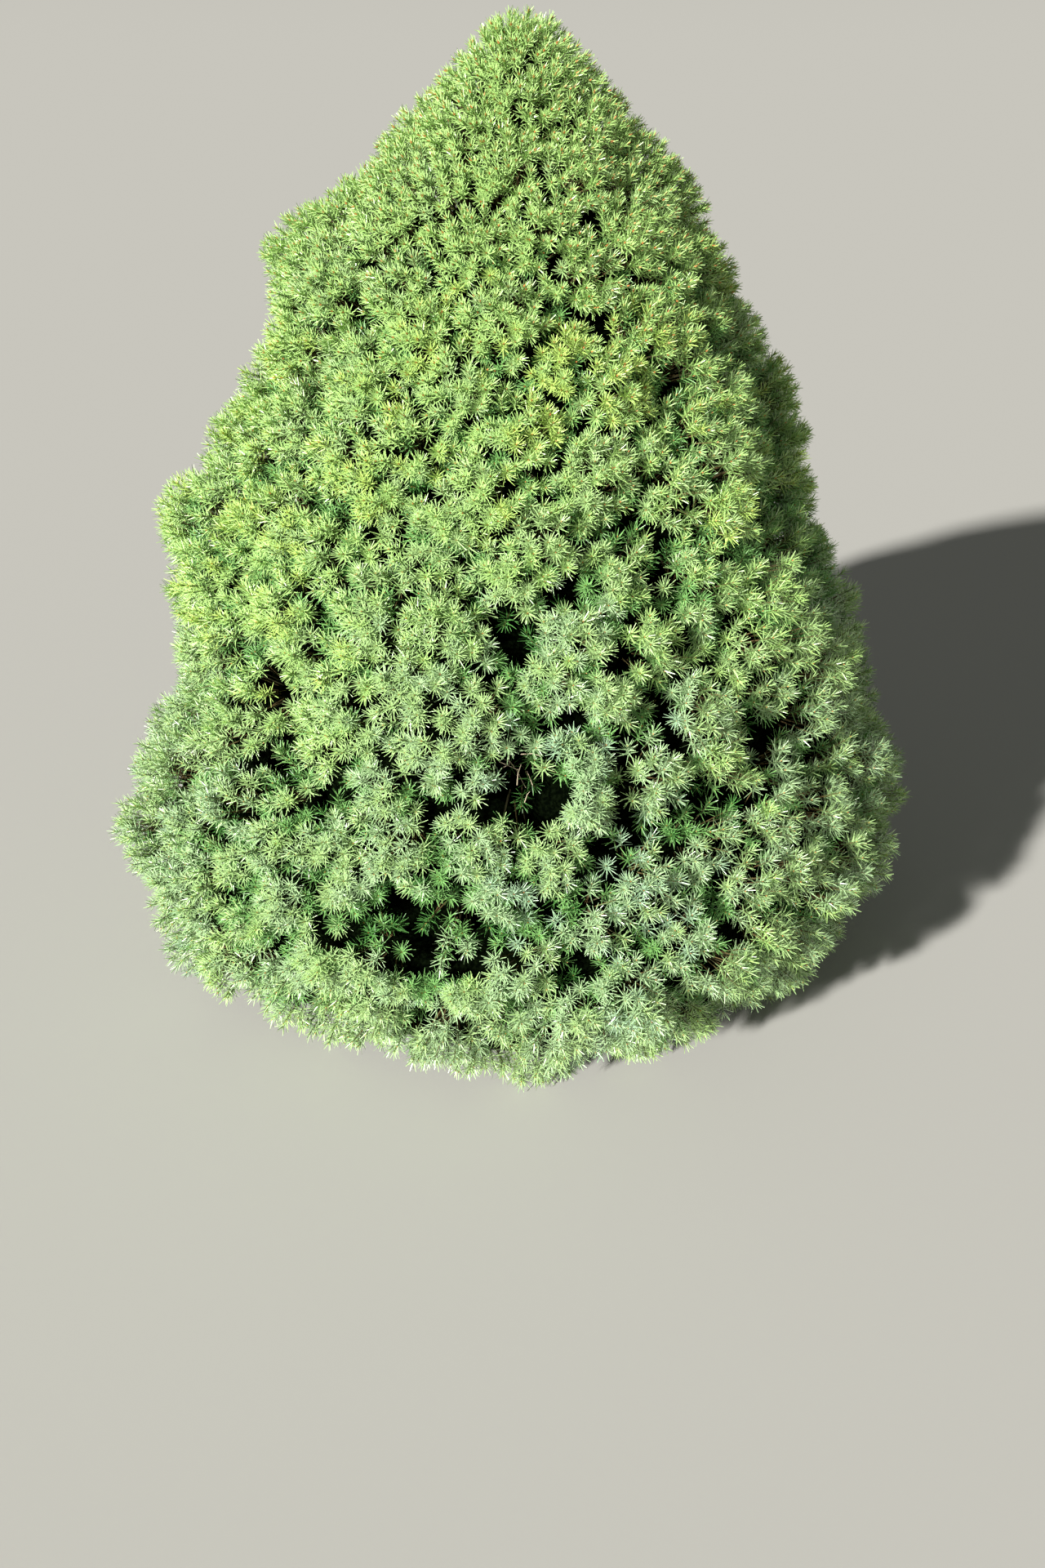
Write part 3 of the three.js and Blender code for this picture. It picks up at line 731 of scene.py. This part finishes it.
def makeTwigs():
    clumpIndex = np.arange(len(clumpBases))
    limbPlace = twig["limbFrom"] + (1 - twig["limbFrom"]) * chance(clumpIndex + 0.31)
    starts = np.array([limbPoint(masses[mass], place) for mass, place in zip(clumpMass, limbPlace)])
    reach = np.linalg.norm(clumpBases - starts, axis=-1, keepdims=True)
    forward, outward = unit(clumpBases - starts), unit(clumpBases * [1, 1, 0])
    leave = forward * twig["forward"] + outward * twig["outward"] + up * twig["upward"]
    branchPaths = bentPaths(starts, clumpBases, leave * reach * twig["curve"], twig["branchRings"])
    branchRadii = np.linspace(twig["branchBase"], twig["branchTip"], twig["branchRings"])
    for tierIndex, tierName in enumerate(tierNames):
        own = massTier[clumpMass] == tierIndex
        branches = tubes(branchPaths[own], np.tile(branchRadii, (own.sum(), 1)), twig["branchSides"])
        mine = shootTier == tierIndex
        tip, axis, clump = shoots["tip"][mine], shoots["axis"][mine], shoots["clump"][mine]
        foot = mix(tip - axis * needle["band"] * twig["footBack"], clumpBases[clump], twig["footShare"])
        paths = np.stack([foot, tip], 1)
        radii = np.tile([twig["twigBase"], twig["twigTip"]], (len(tip), 1))
        slim = tubes(paths, radii, 3, closed=False)
        points, faces = joined([branches, slim])
        branchFaces, slimFaces = len(branches[1]) // own.sum(), len(slim[1]) // len(tip)
        tones = np.concatenate([
            np.repeat(np.floor(2 * chance(clumpIndex[own] + 0.41)), branchFaces),
            np.repeat(np.floor(3 * chance(shoots["key"][mine] + 0.43)), slimFaces)])
        addPiece(f"twigs_{tierName}", points, faces, twigFinishes, finishOf=tones)
        print("twigs", tierName, len(faces), "triangles")


def makeBuds():
    # a small pointed bud at the heart of each spray
    tip, axis, key = shoots["tip"], shoots["axis"], shoots["key"]
    foot = tip + axis * twig["budStand"]
    side, over = acrossAxes(axis)
    angle = 2 * np.pi * np.arange(3) / 3
    rim = side[:, None] * np.cos(angle)[:, None] + over[:, None] * np.sin(angle)[:, None]
    brush = brushPart(tip[:, 2])
    rim = foot[:, None] + rim * twig["bud"] * mix(1, twig["topBudWidth"], brush)[:, None, None]
    length = twig["budLength"] * mix(1, twig["topBud"], brush)
    point = foot + axis * twig["budPoint"] * length[:, None]
    points = np.concatenate([rim, point[:, None]], 1).reshape(-1, 3)
    bud = np.array([[0, 1, 3], [1, 2, 3], [2, 0, 3]])
    faces = (np.arange(len(tip))[:, None, None] * 4 + bud).reshape(-1, 3)
    tones = np.repeat(np.floor(2 * chance(key + 0.47)), len(bud))
    addPiece("buds", points, faces, budFinishes, finishOf=tones)


# Dead wood: a few pale bare twigs left inside the hole in the front
deadWood = {
    "count": 10, "azimuth": -1, "height": 0.615, "depth": 0.060, "depthSpread": 0.6,
    "spreadOut": 0.024, "spreadUp": 0.034, "crownRadius": 0.62,
    "length": 0.038, "shortest": 0.6, "rise": 0.8, "crook": 0.004,
    "radius": 0.0006, "taper": (1.3, 1.0, 0.6), "colour": (190, 176, 150),
}


def makeDeadWood():
    index = np.arange(deadWood["count"])
    across = spread(index + 0.2, deadWood["spreadOut"])
    turn = deadWood["azimuth"] + np.degrees(across / deadWood["crownRadius"])
    height = deadWood["height"] + spread(index + 0.4, deadWood["spreadUp"])
    depth = deadWood["depth"] * (1 + deadWood["depthSpread"] * chance(index + 0.6))
    radius = outlineRadius(height) - depth
    middle = crownPoint(turn, radius, height)
    lean = np.stack([spread(index * 1.9 + shift, 1) for shift in (0.1, 0.5, 0.8)], -1)
    length = deadWood["length"] * mix(deadWood["shortest"], 1, chance(index + 0.7))[:, None]
    reach = unit(lean + deadWood["rise"] * up) * length
    crook = np.stack([spread(index * 2.3 + shift, deadWood["crook"]) for shift in (0.2, 0.4, 0.9)], -1)
    paths = np.stack([middle - reach / 2, middle + crook, middle + reach / 2], 1)
    radii = np.tile(deadWood["radius"] * np.array(deadWood["taper"]), (len(index), 1))
    points, faces = tubes(paths, radii, 4)
    deadTwig = plainFinish("deadTwig", deadWood["colour"], 0.8, 0.2)
    addPiece("dead_twigs", points, faces, [deadTwig])


makeTwigs()
makeBuds()
makeDeadWood()
print("twigs and buds made")

# Inner growth: the hearts of the masses, well inside the sprays, painted near-black as shade
inner = {
    "marginUp": 0.070, "marginOut": 0.092, "overlap": 0.014, "roughness": 0.10, "detail": 3,
    "furthest": 0.7, "nearest": 0.01, "halvings": 22,
}


def cellLimits(mass):
    limits = []
    for other in masses:
        if other is not mass:
            normal = other["heart"] - mass["heart"]
            limits.append((unit(normal), np.linalg.norm(normal) / 2 + inner["overlap"] / 2))
    limits.append((-up, mass["heart"][2] - massRule["groundGap"]))
    ends = limbPoint(mass, [0.99, 1])
    limits.append((unit(ends[0] - ends[1]), mass["back"]))
    return limits


def travelToCrown(start, directions):
    near, far = np.zeros(len(directions)), np.full(len(directions), inner["furthest"])
    for _ in range(inner["halvings"]):
        middle = (near + far) / 2
        inside = insideCrown(start + directions * middle[:, None], inner["marginUp"], inner["marginOut"])
        near, far = np.where(inside, middle, near), np.where(inside, far, middle)
    return np.maximum(near, inner["nearest"])


def heartReach(mass, directions):
    total = travelToCrown(mass["heart"], directions) ** -massRule["rounding"]
    for normal, distance in cellLimits(mass):
        facing = np.maximum(directions @ normal, 0)
        total = total + (facing / distance) ** massRule["rounding"]
    return total ** (-1 / massRule["rounding"])


def makeShadeHearts():
    ball = bmesh.new()
    bmesh.ops.create_icosphere(ball, subdivisions=inner["detail"], radius=1)
    corners = np.array([corner.co for corner in ball.verts])
    ballFaces = np.array([[corner.index for corner in face.verts] for face in ball.faces])
    ball.free()
    for tierName in tierNames:
        hearts = []
        for mass in [mass for mass in masses if mass["tier"] == tierName]:
            outward = crownPoint(mass["azimuth"], 1, 0)
            sideways = crownPoint(mass["azimuth"] + 90, 1, 0)
            deep = corners[:, :1] * outward * mass["halfDepth"]
            wide = corners[:, 1:2] * sideways * mass["halfWidth"]
            tall = corners[:, 2:] * up * massRule["tierPitch"] / 2
            directions = unit(deep + wide + tall)
            rough = 1 - inner["roughness"] * chance(mass["key"] + corners @ [3, 5, 7])
            points = mass["heart"] + directions * (rough * heartReach(mass, directions))[:, None]
            hearts.append((points, ballFaces))
        points, faces = joined(hearts)
        addPiece(f"inner_{tierName}", points, faces, [innerShade])


makeShadeHearts()
print("inner growth made")

# Studio: a wide pale floor that runs into a backdrop of its own tone, one key light from the upper left
studio = {
    "floorRadius": 60.0, "floorCorners": 96, "floorColour": (190, 189, 185),
    "keyAzimuth": -44, "keyHeight": 24, "keySoftness": 3, "keyStrength": 7.6,
    "keyColour": (1.0, 0.98, 0.93), "bounces": 2,
    "skyColour": (0.95, 1.0, 0.94), "skyStrength": 0.12, "backdropTop": 0.40,
}
camera = {
    "away": 2.05, "eye": 1.50, "down": 31.44, "focalPixels": 1464, "longSidePixels": 1920, "sensor": 36,
}


def makeFloor():
    turn = np.linspace(0, 2 * np.pi, studio["floorCorners"], endpoint=False)
    rim = np.stack([np.cos(turn), np.sin(turn), 0 * turn], -1) * studio["floorRadius"]
    mesh = bpy.data.meshes.new("floor")
    mesh.from_pydata(rim.tolist(), [], [list(range(len(rim)))])
    mesh.materials.append(plainFinish("floorPaint", studio["floorColour"], 1.0, 0.0))
    floor = bpy.data.objects.new("floor", mesh)
    bpy.context.scene.collection.objects.link(floor)


def makeKeyLight():
    lamp = bpy.data.lights.new("key", "SUN")
    lamp.angle = radians(studio["keySoftness"])
    lamp.energy = studio["keyStrength"]
    lamp.color = studio["keyColour"]
    light = bpy.data.objects.new("key", lamp)
    light.rotation_euler = (radians(90 - studio["keyHeight"]), 0, radians(studio["keyAzimuth"]))
    bpy.context.scene.collection.objects.link(light)


def backdropColour():
    # what the lit floor sends back, so that floor and backdrop meet without a line
    band = 0.3 * studio["backdropTop"] ** 2  # the share of the floor's sky light that the backdrop gives
    sun = studio["keyStrength"] * np.sin(radians(studio["keyHeight"])) / np.pi
    paint, key, sky = np.array([srgb(*studio["floorColour"])[:3], studio["keyColour"], studio["skyColour"]])
    return paint * (sun * key + studio["skyStrength"] * (1 - band) * sky) / (1 - paint * band)


def makeSky():
    # pale like the floor at the horizon and dim overhead
    world = bpy.data.worlds.new("studioSky")
    bpy.context.scene.world = world
    world.cycles.sampling_method = "NONE"  # so smooth a sky needs no sampling of its own
    world.use_nodes = True
    nodes, links = world.node_tree.nodes, world.node_tree.links
    direction = nodes.new("ShaderNodeTexCoord")
    split = nodes.new("ShaderNodeSeparateXYZ")
    ramp = nodes.new("ShaderNodeValToRGB")
    ramp.color_ramp.interpolation = "EASE"
    ramp.color_ramp.elements[0].color = (*backdropColour(), 1)
    ramp.color_ramp.elements[1].position = studio["backdropTop"]
    dimSky = [value * studio["skyStrength"] for value in studio["skyColour"]]
    ramp.color_ramp.elements[1].color = (*dimSky, 1)
    links.new(direction.outputs["Generated"], split.inputs["Vector"])
    links.new(split.outputs["Z"], ramp.inputs["Fac"])
    links.new(ramp.outputs["Color"], nodes["Background"].inputs["Color"])


def makeCamera():
    lens = bpy.data.cameras.new("camera")
    lens.sensor_width = camera["sensor"]
    lens.lens = camera["sensor"] * camera["focalPixels"] / camera["longSidePixels"]
    eye = bpy.data.objects.new("camera", lens)
    eye.location = (0, -camera["away"], camera["eye"])
    eye.rotation_euler = (radians(90 - camera["down"]), 0, 0)
    bpy.context.scene.collection.objects.link(eye)
    bpy.context.scene.camera = eye


makeFloor()
makeKeyLight()
makeSky()
makeCamera()
bpy.context.scene.view_settings.view_transform = "Standard"
bpy.context.scene.cycles.diffuse_bounces = studio["bounces"]
bpy.context.scene.cycles.use_light_tree = False
print("studio made")
